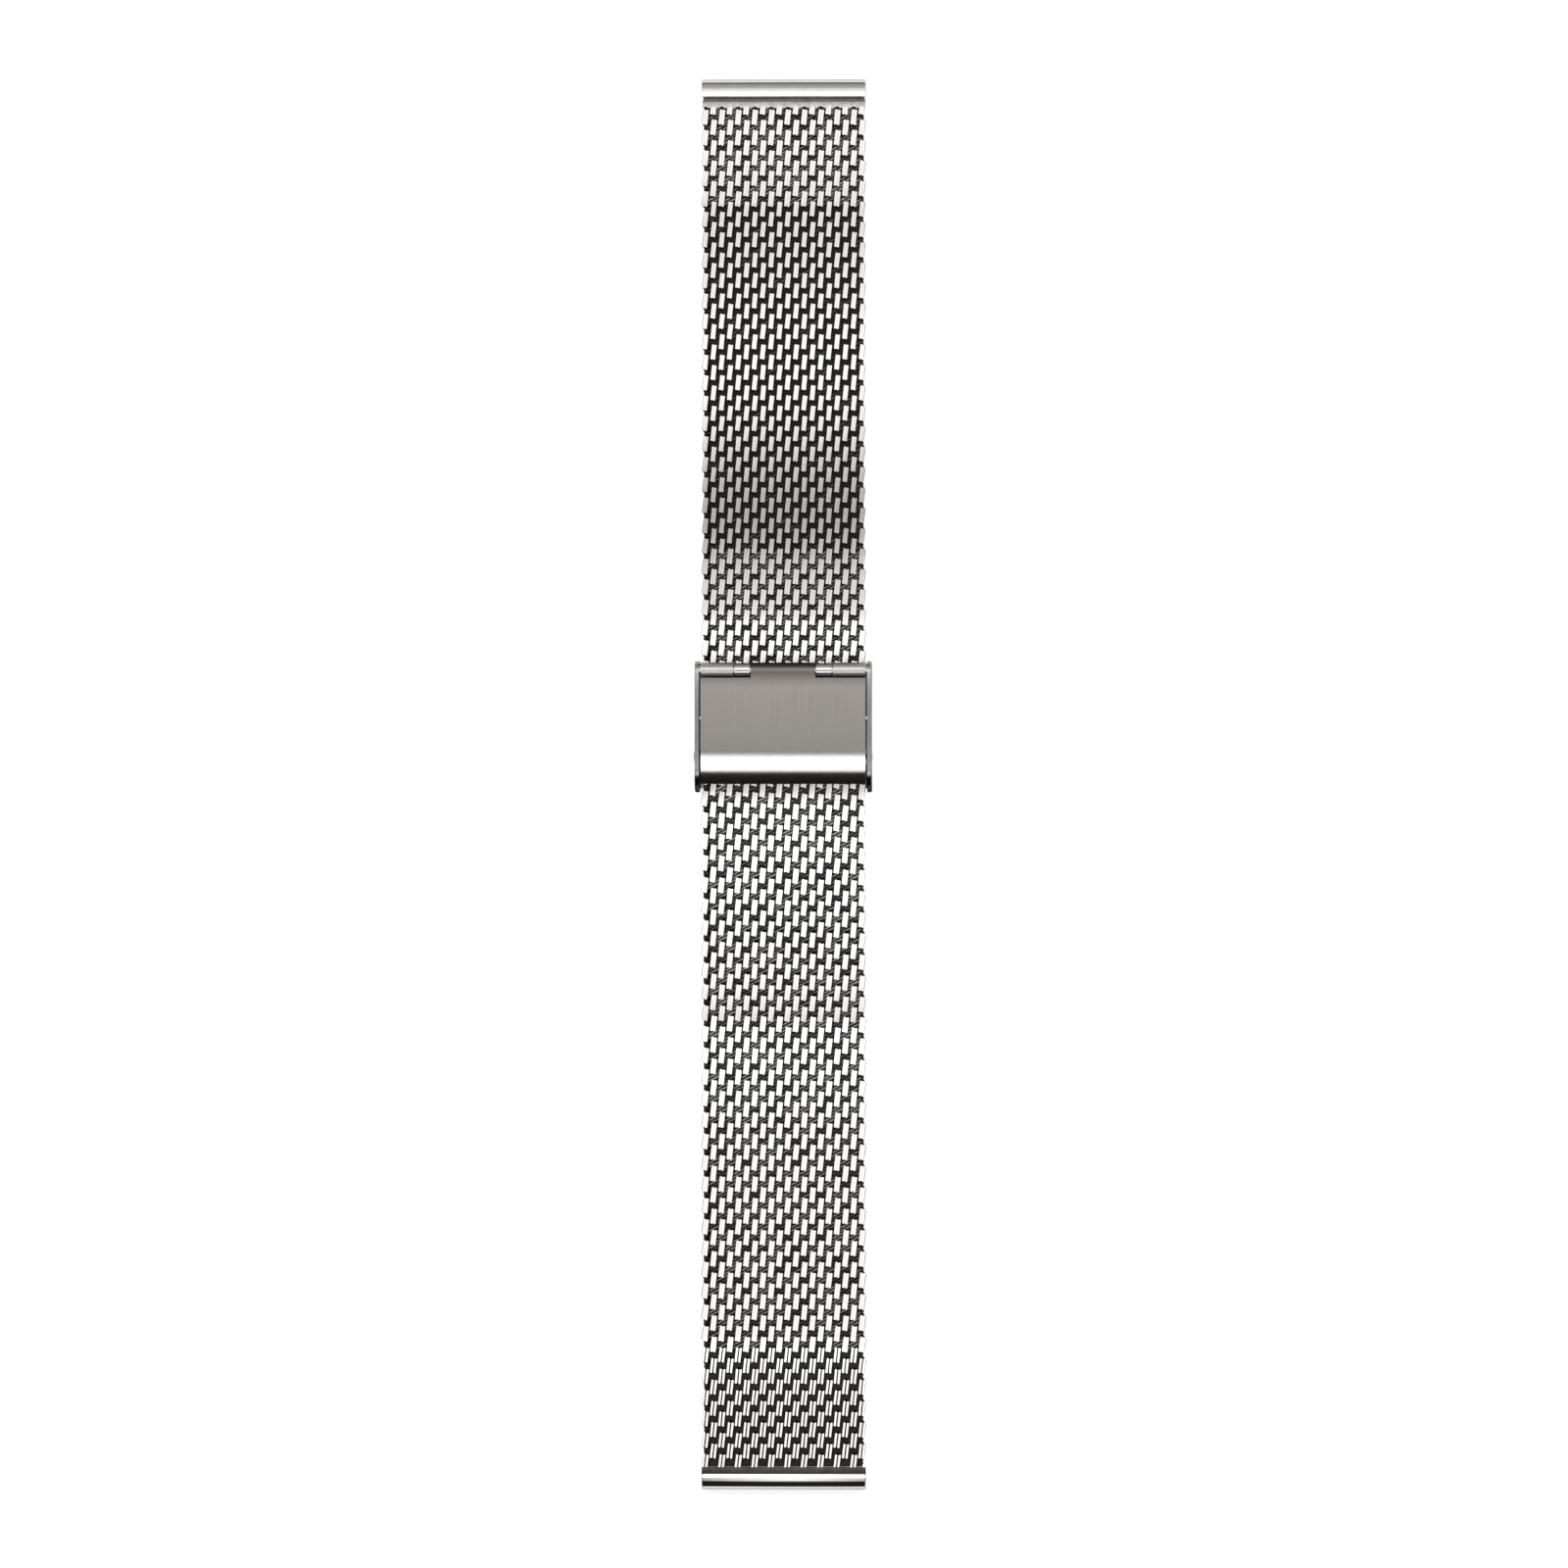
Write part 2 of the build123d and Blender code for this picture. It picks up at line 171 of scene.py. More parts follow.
world = bpy.data.worlds.new("room")
bpy.context.scene.world = world
world.use_nodes = True
tree = world.node_tree
tree.nodes.clear()
direction = node(tree, "ShaderNodeTexCoord")
split = node(tree, "ShaderNodeSeparateXYZ")
link(tree, direction.outputs["Generated"], split.inputs[0])
behind = node(tree, "ShaderNodeMapRange", From_Min=-0.35, From_Max=0.0, To_Min=0.02, To_Max=0.24)
link(tree, split.outputs["Y"], behind.inputs["Value"])
above = node(tree, "ShaderNodeMapRange", From_Min=0.12, From_Max=0.4)
link(tree, split.outputs["Z"], above.inputs["Value"])
grey = node(tree, "ShaderNodeMath")
grey.operation = "MULTIPLY"
link(tree, behind.outputs[0], grey.inputs[0])
link(tree, above.outputs[0], grey.inputs[1])
wall = node(tree, "ShaderNodeMapRange", From_Min=0.05, From_Max=0.06, To_Min=0.9, To_Max=0.0)
link(tree, split.outputs["Z"], wall.inputs["Value"])
brightness = node(tree, "ShaderNodeMath")
link(tree, grey.outputs[0], brightness.inputs[0])
link(tree, wall.outputs[0], brightness.inputs[1])
room = node(tree, "ShaderNodeBackground", Color=(1.0, 0.97, 0.94, 1))
link(tree, brightness.outputs[0], room.inputs["Strength"])
output = node(tree, "ShaderNodeOutputWorld")
link(tree, room.outputs[0], output.inputs["Surface"])
print("world nodes:", len(tree.nodes))

# %% [markdown]
# The table is a white sheet under the band. A lit white surface alone would come out light grey, so the
# camera sees some glow added to it, and so does the metal that mirrors the table. The glow lights nothing,
# and the band's own shadow stays.

# %% The table
table_size = 4.0
table_glow = 0.7
table_mesh = bmesh.new()
bmesh.ops.create_grid(table_mesh, x_segments=1, y_segments=1, size=table_size / 2)
table_data = bpy.data.meshes.new("table")
table_mesh.to_mesh(table_data)
table_mesh.free()
table = bpy.data.objects.new("table", table_data)
bpy.context.scene.collection.objects.link(table)

sheet = bpy.data.materials.new("white_table")
sheet.use_nodes = True
tree = sheet.node_tree
tree.nodes.clear()
lit = node(tree, "ShaderNodeBsdfDiffuse", Color=(0.8, 0.8, 0.8, 1))
glow = node(tree, "ShaderNodeEmission", Color=(1, 1, 1, 1))
path = node(tree, "ShaderNodeLightPath")
seen = path.outputs["Is Camera Ray"]
for ray in ("Is Glossy Ray", "Is Transmission Ray"):
    either = node(tree, "ShaderNodeMath")
    either.operation = "MAXIMUM"
    link(tree, seen, either.inputs[0])
    link(tree, path.outputs[ray], either.inputs[1])
    seen = either.outputs[0]
amount = node(tree, "ShaderNodeMath")
amount.operation = "MULTIPLY"
amount.inputs[1].default_value = table_glow
link(tree, seen, amount.inputs[0])
link(tree, amount.outputs[0], glow.inputs["Strength"])
both = node(tree, "ShaderNodeAddShader")
link(tree, lit.outputs[0], both.inputs[0])
link(tree, glow.outputs[0], both.inputs[1])
output = node(tree, "ShaderNodeOutputMaterial")
link(tree, both.outputs[0], output.inputs["Surface"])
table_data.materials.append(sheet)
print("table", table_size, "m")

# %% [markdown]
# Three effects are used by more than one metal, so each is a node group. "grain" gives the fine lines that
# a brush leaves: noise squeezed across the lines and drawn out along them. "smudges" gives large soft
# patches, which make a polished surface a little uneven in its gloss. The third group grows from one place
# along the band to another: it is painted shade, which darkens a sheet part towards one end.

# %% Node groups
def group_of(name, inputs, outputs):
    """An empty node group with named number inputs (and their defaults) and number outputs."""
    group = bpy.data.node_groups.new(name, "ShaderNodeTree")
    for label, value in inputs.items():
        socket = group.interface.new_socket(label, in_out="INPUT", socket_type="NodeSocketFloat")
        socket.default_value = value
    for label in outputs:
        group.interface.new_socket(label, in_out="OUTPUT", socket_type="NodeSocketFloat")
    return group, group.nodes.new("NodeGroupInput"), group.nodes.new("NodeGroupOutput")


grain_group, start, end = group_of("grain", {"Across": 16000, "Along": 160, "Detail": 3}, ["Lines"])
place = node(grain_group, "ShaderNodeTexCoord")
stretch = node(grain_group, "ShaderNodeCombineXYZ")
link(grain_group, start.outputs["Across"], stretch.inputs["X"])
link(grain_group, start.outputs["Along"], stretch.inputs["Y"])
link(grain_group, start.outputs["Along"], stretch.inputs["Z"])
squeezed = node(grain_group, "ShaderNodeVectorMath")
squeezed.operation = "MULTIPLY"
link(grain_group, place.outputs["Object"], squeezed.inputs[0])
link(grain_group, stretch.outputs[0], squeezed.inputs[1])
lines = node(grain_group, "ShaderNodeTexNoise", Scale=1.0)
link(grain_group, squeezed.outputs[0], lines.inputs["Vector"])
link(grain_group, start.outputs["Detail"], lines.inputs["Detail"])
link(grain_group, lines.outputs[0], end.inputs["Lines"])

# Painted shade: a mask that grows along the band, from From to To.
painted_shade_group, start, end = group_of("painted_end_shade", {"From": 0, "To": 0.001}, ["Mask"])
place = node(painted_shade_group, "ShaderNodeTexCoord")
split = node(painted_shade_group, "ShaderNodeSeparateXYZ")
link(painted_shade_group, place.outputs["Object"], split.inputs[0])
ramp = node(painted_shade_group, "ShaderNodeMapRange")
ramp.interpolation_type = "SMOOTHSTEP"
link(painted_shade_group, split.outputs["Y"], ramp.inputs["Value"])
link(painted_shade_group, start.outputs["From"], ramp.inputs["From Min"])
link(painted_shade_group, start.outputs["To"], ramp.inputs["From Max"])
link(painted_shade_group, ramp.outputs[0], end.inputs["Mask"])

smudge_group, start, end = group_of("smudges", {"Scale": 400}, ["Patches"])
place = node(smudge_group, "ShaderNodeTexCoord")
patches = node(smudge_group, "ShaderNodeTexNoise", Detail=2.0)
link(smudge_group, place.outputs["Object"], patches.inputs["Vector"])
link(smudge_group, start.outputs["Scale"], patches.inputs["Scale"])
link(smudge_group, patches.outputs[0], end.inputs["Patches"])
print("node groups:", [group.name for group in bpy.data.node_groups])

# %% [markdown]
# Steel comes in seven finishes here: pressed wire, polished tube, the satin cover, the duller side plates,
# stamped sheet, near-black sheet that carries painted shade, and solder. They share one recipe. Steel is
# tinted grey where it is seen edge-on, which draws a thin line round it. A mask picks between two colours and
# between two roughnesses, and mostly the same or a finer mask gives a bump. For the wire the mask is painted
# on the mesh itself, as an attribute that is 0 deep in the weave and 1 on the pressed crests: the near-black
# colour at 0 is painted shade, and the strands behind get a painted highlight on their inner sides.

# %% Metals
edge_tint = (0.3, 0.3, 0.3, 1)


def steel(name, dark, light, rough, smooth):
    """A metal whose colour and roughness go from (dark, rough) at mask 0 to (light, smooth) at mask 1."""
    material = bpy.data.materials.new(name)
    material.use_nodes = True
    tree = material.node_tree
    shader = tree.nodes["Principled BSDF"]
    shader.inputs["Metallic"].default_value = 1.0
    shader.inputs["Specular Tint"].default_value = edge_tint
    colours = node(tree, "ShaderNodeMix")
    colours.data_type = "RGBA"
    colours.inputs["A"].default_value = (*dark, 1)
    colours.inputs["B"].default_value = (*light, 1)
    link(tree, colours.outputs["Result"], shader.inputs["Base Color"])
    gloss = node(tree, "ShaderNodeMapRange", To_Min=rough, To_Max=smooth)
    link(tree, gloss.outputs[0], shader.inputs["Roughness"])
    return material, tree, colours, gloss


def choose_by(tree, mask, colours, gloss):
    """Lets a mask pick a metal's colour and its roughness."""
    link(tree, mask, colours.inputs["Factor"])
    link(tree, mask, gloss.inputs["Value"])


def place_group(tree, group, **inputs):
    """Adds a node group to a material and sets its inputs."""
    made = tree.nodes.new("ShaderNodeGroup")
    made.node_tree = group
    for name, value in inputs.items():
        made.inputs[name].default_value = value
    return made


def bump(tree, mask, depth):
    """Lets a mask raise the surface by depth."""
    relief = node(tree, "ShaderNodeBump", Distance=depth)
    link(tree, mask, relief.inputs["Height"])
    link(tree, relief.outputs[0], tree.nodes["Principled BSDF"].inputs["Normal"])


def darken(tree, colours, start, end, shade_colour):
    """Paints shade over a metal's colours, growing from start to end along the band."""
    shaded = node(tree, "ShaderNodeMix")
    shaded.data_type = "RGBA"
    shaded.inputs["B"].default_value = (*shade_colour, 1)
    mask = place_group(tree, painted_shade_group, From=start, To=end)
    link(tree, mask.outputs["Mask"], shaded.inputs["Factor"])
    link(tree, colours.outputs["Result"], shaded.inputs["A"])
    link(tree, shaded.outputs["Result"], tree.nodes["Principled BSDF"].inputs["Base Color"])


# Painted shade: the near-black colour goes deep in the weave, the wire's own colour on the crests.
wire_steel, tree, colours, gloss = steel(
    "wire_steel", (0.022, 0.0215, 0.021), (0.70, 0.69, 0.68), 0.35, 0.2)
crest = tree.nodes.new("ShaderNodeAttribute")
crest.attribute_name = "crest"
choose_by(tree, crest.outputs["Fac"], colours, gloss)
scratches = place_group(tree, grain_group, Across=9000, Along=1500)
bump(tree, scratches.outputs["Lines"], 0.004 * mm)

polished_steel, tree, colours, gloss = steel(
    "polished_steel", (0.58, 0.57, 0.565), (0.68, 0.67, 0.665), 0.1, 0.05)
patches = place_group(tree, smudge_group, Scale=700)
choose_by(tree, patches.outputs["Patches"], colours, gloss)
scratches = place_group(tree, grain_group, Across=900, Along=9000)
bump(tree, scratches.outputs["Lines"], 0.0005 * mm)

satin_steel, tree, colours, gloss = steel(
    "satin_steel", (0.44, 0.415, 0.395), (0.60, 0.575, 0.55), 0.2, 0.13)
brushing = place_group(tree, grain_group, Across=16000, Along=160)
choose_by(tree, brushing.outputs["Lines"], colours, gloss)
bump(tree, brushing.outputs["Lines"], 0.02 * mm)
# Painted shade: the cover darkens towards its hinge end.
darken(tree, colours, 11.5 * mm, 14.2 * mm, (0.12, 0.11, 0.105))

plate_steel, tree, colours, gloss = steel(
    "plate_steel", (0.30, 0.285, 0.275), (0.50, 0.485, 0.47), 0.3, 0.2)
brushing = place_group(tree, grain_group, Across=6000, Along=400)
choose_by(tree, brushing.outputs["Lines"], colours, gloss)
bump(tree, brushing.outputs["Lines"], 0.01 * mm)
# Painted shade: the side plates darken at their lower ends, from 2.2 mm down to 0.6 mm along the band.
darken(tree, colours, 2.2 * mm, 0.6 * mm, (0.05, 0.048, 0.046))

stamped_steel, tree, colours, gloss = steel(
    "stamped_steel", (0.48, 0.47, 0.46), (0.64, 0.63, 0.62), 0.42, 0.28)
brushing = place_group(tree, grain_group, Across=4000, Along=900)
choose_by(tree, brushing.outputs["Lines"], colours, gloss)
bump(tree, brushing.outputs["Lines"], 0.005 * mm)

# Painted shade: near-black steel for the shelves in the slits beside the cover and the lower lug's rolled edge.
shadowed_steel, tree, colours, gloss = steel(
    "shadowed_steel", (0.03, 0.028, 0.026), (0.07, 0.065, 0.06), 0.5, 0.35)
patches = place_group(tree, smudge_group, Scale=900)
choose_by(tree, patches.outputs["Patches"], colours, gloss)

solder, tree, colours, gloss = steel("solder", (0.34, 0.33, 0.32), (0.72, 0.71, 0.70), 0.6, 0.45)
patches = place_group(tree, smudge_group, Scale=1800)
choose_by(tree, patches.outputs["Patches"], colours, gloss)
bump(tree, patches.outputs["Patches"], 0.05 * mm)
print("materials:", [material.name for material in bpy.data.materials])

# %% [markdown]
# The mesh is woven from coils that lie across the band, one to a row, and each coil is wound from two wires
# side by side. A turn goes down the front almost upright and comes back up behind on a slant. Each row is
# half a turn out of step with the last, and its loops hang in the loops of its neighbours. Then rollers
# press the whole mesh flat, which leaves each bend nearly square.
#
# A curve with a round bevel could follow the coil, but its profile slowly twists from turn to turn, and the
# pressed faces would tilt. So a ring of edges is extruded from corner to corner of the path instead, turned
# the same way at each turn. Then the crests are pressed flat, as the rollers do. The wires differ along the
# band: near the lower lug they are thin and stand apart, and along the middle of the upper strap they are
# finer and lie closer together than elsewhere.
#
# Real wires are squeezed until no daylight comes through. These keep their clean shape, so a thin web,
# painted near-black as shade, halfway up the strands behind closes each row, and the strands stand out from it
# on both faces. Their inner sides carry a painted highlight, which gives the thin glints in the gaps.

# %% One row of coils
strap_thickness = 1.5 * mm
turn_pitch = 1.996 * mm
turns = 10
wire_radius = 0.22 * mm
wire_spacing = 0.33 * mm
pressed = 0.065 * mm
coil_reach = 0.71 * mm
front_lean = 0.09 * mm
back_spacing = 0.38 * mm
end_rise = 0.8 * mm
crest_foot = 0.62 * mm
crest_top = 0.73 * mm
front_corner_share = 0.55
straight_turning = 0.001
crease_angle = radians(50)
ring_sides = 8
web_half = 9.55 * mm
web_bottom = -0.57 * mm
web_top = -0.51 * mm
# Painted highlight on the inner sides of the strands behind: its share, span and falloff.
painted_glint_share = 0.9
painted_glint_span = 0.19 * mm
painted_glint_falloff = 4

# The corners of one turn as (climb, depth): the top bend, down the front, the bottom bend, up behind. The
# front strand has one more corner on its way down, where the wander of the mesh can bend it.
turn_corners = [(1, 0), (1, 1), (-front_corner_share, 1), (-1, 1), (-1, 0), (-1, -1), (1, -1)]


def coil_point(step, side, spacing, radius):
    """A corner of one wire of the coil. Its two wires are on sides -1 and 1.

    They lie beside each other in front and one above the other behind, so a turn ends on a slant.
    """
    whole, corner = divmod(step, len(turn_corners))
    climb, depth = turn_corners[corner]
    in_front = (1 + depth) / 2
    carried = turn_pitch if (climb, depth) == (1, -1) else 0
    across = whole * turn_pitch + carried + front_lean * climb + side * in_front * spacing / 2
    along = coil_reach * climb + side * (1 - in_front) * back_spacing / 2
    return Vector((across, along, (strap_thickness / 2 - radius + pressed) * depth))


def next_ring(shell, ring):
    """Extrudes a closed ring of points and gives the new ring in the same order."""
    edges = [edge for vertex in ring for edge in vertex.link_edges
             if edge.verts[0] is vertex and edge.other_vert(vertex) in ring]
    made = bmesh.ops.extrude_edge_only(shell, edges=edges)
    fresh = {item for item in made["geom"] if isinstance(item, bmesh.types.BMVert)}
    return [next(edge.other_vert(vertex) for edge in vertex.link_edges if edge.other_vert(vertex) in fresh)
            for vertex in ring]


def sweep_wire(shell, path, radius):
    """A wire along a path with mitred corners. The sides of its ring keep to the X axis."""
    circle = bmesh.ops.create_circle(shell, segments=ring_sides, radius=radius)
    ring = circle["verts"]
    outline = [vertex.co.copy() for vertex in ring]
    first_ring = ring
    for index, place in enumerate(path):
        arriving = (place - path[index - 1]).normalized() if index else (path[1] - place).normalized()
        leaving = (path[index + 1] - place).normalized() if index + 1 < len(path) else arriving
        heading = (arriving + leaving).normalized()
        side = Vector((1, 0, 0))
        side = (side - side.dot(heading) * heading).normalized()
        up = heading.cross(side)
        turning = arriving.cross(leaving)
        stretch = 1 / arriving.dot(heading)
        sideways = abs(turning.normalized().dot(up)) if turning.length > straight_turning else 0
        wide = 1 + (stretch - 1) * sideways
        tall = 1 + (stretch - 1) * (1 - sideways)
        if index:
            ring = next_ring(shell, ring)
        for vertex, around in zip(ring, outline):
            vertex.co = place + around.x * wide * side + around.y * tall * up
    for end_ring in (first_ring, ring):
        bmesh.ops.contextual_create(shell, geom=end_ring)


def coil_row(name, start, half_back_first, spacing, radius):
    """A row of two wires wound together and pressed flat on both faces.

    One of its ends is cut halfway up the back.
    """
    shell = bmesh.new()
    last_step = turns * len(turn_corners) - 2
    for side in (-1, 1):
        path = [coil_point(step, side, spacing, radius) for step in range(last_step + 1)]
        cut = path[-1].lerp(coil_point(last_step + 1, side, spacing, radius), 0.5)
        if half_back_first:
            cut.x -= turns * turn_pitch
            path = [cut + Vector((0, 0, end_rise)), cut] + path[:-1]
        else:
            path += [cut, cut + Vector((0, 0, end_rise))]
        sweep_wire(shell, [place + Vector((start, 0, 0)) for place in path], radius)
    bmesh.ops.recalc_face_normals(shell, faces=shell.faces)
    row = bpy.data.meshes.new(name)
    shell.to_mesh(row)
    shell.free()
    # The crest mask: 1 on the pressed crests and 0 deep in the weave, where the wire metal paints near-black
    # shade.
    crest = row.attributes.new("crest", "FLOAT", "POINT")
    for vertex, mark in zip(row.vertices, crest.data):
        level = abs(vertex.co.z)
        mark.value = max(0, min(1, (level - crest_foot) / (crest_top - crest_foot)))
        # Painted highlight: the inner sides of the strands behind are painted lighter.
        if vertex.co.z < 0 and level < crest_foot:
            mark.value = painted_glint_share * min(1, (crest_foot - level) / painted_glint_span) ** painted_glint_falloff
        vertex.co.z = max(-strap_thickness / 2, min(strap_thickness / 2, vertex.co.z))
    return row


first_column = -(turns - 0.5) * turn_pitch / 2
wire_kinds = {
    "even": {"spacing": wire_spacing, "radius": wire_radius},
    "narrow": {"spacing": 0.28 * mm, "radius": 0.195 * mm},
    "open": {"spacing": 0.43 * mm, "radius": 0.18 * mm},
}
open_below = -69 * mm
narrow_from = 28 * mm
narrow_to = 70 * mm
row_kinds = {kind: [coil_row(f"{kind}_row_a", first_column, False, **wires),
                    coil_row(f"{kind}_row_b", first_column + turn_pitch / 2, True, **wires)]
             for kind, wires in wire_kinds.items()}


def wire_kind(place):
    """Which kind of wires the photo shows at a place along the band."""
    if place < open_below:
        return "open"
    return "narrow" if narrow_from < place < narrow_to else "even"


print("faces in a row:", [len(row.polygons) for rows in row_kinds.values() for row in rows])

# %% [markdown]
# Now the straps. The joints say where each strap bends, and the rows lie at even steps between those
# places. Each row gets a centre and the slope of its stretch.

# %% Places of the rows
def hinge_places(prefix):
    """Where the joints whose names start with the prefix turn."""
    return [Vector(joint["pos_m"]) for joint in frame["joints"] if joint["name"].startswith(prefix)]


def row_places(stops, counts):
    """Centres and slopes of the rows that lie between the stops, with counts rows in each stretch."""
    places = []
    for start, end, count in zip(stops, stops[1:], counts):
        slope = atan((end.z - start.z) / (end.y - start.y))
        for index in range(count):
            places.append((start.lerp(end, (index + 0.5) / count), slope))
    return places


segment_rows = 7
long_clasp_rows = 17
short_clasp_rows = 11
long_hinges = hinge_places("long_bend")
short_hinges = hinge_places("short_bend")
strap_level = long_hinges[0].z
long_stops = [Vector((0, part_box("long_mesh_in_clasp")[0].y, strap_level)), *long_hinges,
              Vector((0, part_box("long_strap_lug_tube")[0].y, strap_level))]
short_stops = [Vector((0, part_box("short_mesh_in_clasp")[1].y, short_hinges[0].z)), *short_hinges,
               Vector((0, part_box("short_strap_lug_tube")[1].y, strap_level))]
long_rows = row_places(long_stops, [long_clasp_rows] + [segment_rows] * len(long_hinges))
short_rows = row_places(short_stops, [short_clasp_rows] + [segment_rows] * len(short_hinges))
print("rows:", len(long_rows), "long,", len(short_rows), "short")

# %% [markdown]
# A piece of weave holds the rows around one hinge, from the middle of one stretch to the middle of the next,
# and its rows take the slopes of both. What lies in the clasp stays straight and rides on one body.
#
# Real mesh is never quite even, so the short strap's rows lean a little near the clasp, and the wires wander
# by a few hundredths of a millimetre. The noise that shifts them has a fixed seed, because it would
# otherwise start from the clock and give another band at each run.

# %% Weave the pieces
wander_size = 2.2 * mm
wander = 0.035 * mm
wander_seed = 7
noise.seed_set(wander_seed)
clasp_tilt = radians(1.6)
tilt_reach = 45 * mm


def make_piece(name, shell, metal, crease=None):
    """A finished shape as an object of one metal. With a crease angle it is smooth up to that angle."""
    data = bpy.data.meshes.new(name)
    shell.to_mesh(data)
    shell.free()
    if crease is not None:
        data.shade_smooth()
        data.set_sharp_from_angle(angle=crease)
    data.materials.append(metal)
    piece = bpy.data.objects.new(name, data)
    bpy.context.scene.collection.objects.link(piece)
    return piece


def weave(name, rows, first_index, tilt):
    """Rows of coils joined into one mesh object. tilt gives how far a row leans out of square."""
    woven = bmesh.new()
    low_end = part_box("short_strap_lug_tube")[1].y
    high_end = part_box("long_strap_lug_tube")[0].y
    row_step = (rows[0][0] - rows[-1][0]).length / (len(rows) - 1)
    for index, (centre, slope) in enumerate(rows, first_index):
        lean = Matrix.Identity(4)
        lean[1][0] = tilt(centre.y)
        known = len(woven.verts)
        woven.from_mesh(row_kinds[wire_kind(centre.y)][index % 2])
        woven.verts.ensure_lookup_table()
        for vertex in list(woven.verts)[known:]:
            vertex.co.y = max(low_end - centre.y, min(high_end - centre.y, vertex.co.y))
        # The web's faces carry no crest mask, so they take the wire's near-black painted shade.
        web = bmesh.ops.create_cube(woven, size=1)
        bmesh.ops.scale(woven, vec=(2 * web_half, row_step, web_top - web_bottom), verts=web["verts"])
        bmesh.ops.translate(woven, vec=(0, 0, (web_top + web_bottom) / 2), verts=web["verts"])
        woven.verts.ensure_lookup_table()
        new = woven.verts[known:]
        bmesh.ops.transform(woven, matrix=Matrix.Translation(centre) @ Matrix.Rotation(slope, 4, "X") @ lean,
                            verts=new)
    for vertex in woven.verts:
        shift = noise.noise_vector(vertex.co / wander_size) * wander
        vertex.co.x += shift.x
        vertex.co.y += shift.y
    piece = make_piece(name, woven, wire_steel, crease_angle)
    return piece


def weave_strap(name, rows, clasp_rows, hinges, bodies, tilt):
    """The pieces of one strap: one that rides on the first body, and one around each hinge."""
    half = segment_rows // 2
    count = clasp_rows - half
    piece = weave(f"{name}_weave_in_clasp", rows[:count], 0, tilt)
    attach(piece, bodies[0])
    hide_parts(f"{name}_mesh_in_clasp")
    for number in range(1, len(hinges) + 1):
        end = len(rows) if number == len(hinges) else count + segment_rows
        piece = weave(f"{name}_weave_{number}", rows[count:end], count, tilt)
        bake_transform(piece)
        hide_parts(f"{name}_mesh_{number}")
        count = end


def no_tilt(place):
    """The long strap's rows stay square."""
    return 0


def tilt_by_the_clasp(place):
    """Rows of the short strap lean down to the right where they leave the clasp, and less further on."""
    return -tan(clasp_tilt) * max(0, 1 + place / tilt_reach)


weave_strap("long", long_rows, long_clasp_rows, long_hinges,
            ["long_slider"] + [f"long_{n}" for n in range(1, len(long_hinges) + 1)], no_tilt)
weave_strap("short", short_rows, short_clasp_rows, short_hinges,
            ["clasp"] + [f"short_{n}" for n in range(1, len(short_hinges) + 1)], tilt_by_the_clasp)

# %% [markdown]
# The rigid parts have their right shape in the frame already, but their edges are razor sharp, and their
# mesh is loose triangles. Each one is copied, its doubles merged and its flat faces joined again, and a
# bevel takes the edges off, so that they catch the light as worn metal does.

# %% Dress the rigid parts
body_of_node = {name: body for body, names in frame["record"]["behaviour"]["bodies"].items()
                for name in names}
slot_of_node = {part["node"]: part["material_slot"] for part in frame["record"]["subparts"]}
side_plates = ("left_side_plate", "right_side_plate")
metals = {"polished_steel": polished_steel, "satin_steel": satin_steel, "stamped_steel": stamped_steel}
weld_distance = 0.0005 * mm
flat_angle = radians(2)
edge_angle = radians(32)
worn_edge = 0.04 * mm


def dress(node_name):
    """A merged copy of a CAD node with softened edges, in its slot's metal."""
    shell = bmesh.new()
    shell.from_mesh(frame["nodes"][node_name].data)
    bmesh.ops.remove_doubles(shell, verts=shell.verts, dist=weld_distance)
    bmesh.ops.dissolve_limit(shell, angle_limit=flat_angle, verts=shell.verts, edges=shell.edges)
    metal = plate_steel if node_name in side_plates else metals[slot_of_node[node_name]]
    piece = make_piece(f"{node_name}_dressed", shell, metal, edge_angle)
    soft_edges = piece.modifiers.new("worn_edges", "BEVEL")
    soft_edges.width = worn_edge
    soft_edges.segments = 2
    soft_edges.limit_method = "ANGLE"
    soft_edges.angle_limit = edge_angle
    soft_edges.harden_normals = True
    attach(piece, body_of_node[node_name])
    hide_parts(node_name)
    return piece


lug_tubes = ("long_strap_lug_tube", "short_strap_lug_tube")
dressed = [dress(name) for name, slot in slot_of_node.items() if slot in metals and name not in lug_tubes]
print("dressed parts:", len(dressed))

# %% [markdown]
# The clasp's base turns up into its side plates. A narrow shelf of that base lies in the slit between the
# cover and each plate, painted nearly black as the slit's shade. A cube is scaled to a strip and bevelled.

# %% The shelves beside the cover
shelf_inner = 9.98 * mm
shelf_outer = 10.2 * mm
shelf_ends = (-0.5 * mm, 14.6 * mm)
shelf_levels = (1.9 * mm, 2.3 * mm)
shelf_edge = 0.03 * mm
for name, hand in (("left_shelf", -1), ("right_shelf", 1)):
    strip = bmesh.new()
    bmesh.ops.create_cube(strip, size=1)
    bmesh.ops.scale(strip, verts=strip.verts, vec=(
        shelf_outer - shelf_inner, shelf_ends[1] - shelf_ends[0], shelf_levels[1] - shelf_levels[0]))
    bmesh.ops.translate(strip, verts=strip.verts, vec=(
        hand * (shelf_inner + shelf_outer) / 2, sum(shelf_ends) / 2, sum(shelf_levels) / 2))
    bmesh.ops.bevel(strip, geom=strip.edges, offset=shelf_edge, segments=2, profile=0.5, affect="EDGES",
                    material=-1)
    piece = make_piece(name, strip, shadowed_steel)
    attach(piece, "clasp")
print("shelves from", shelf_ends[0], "to", shelf_ends[1], "m")

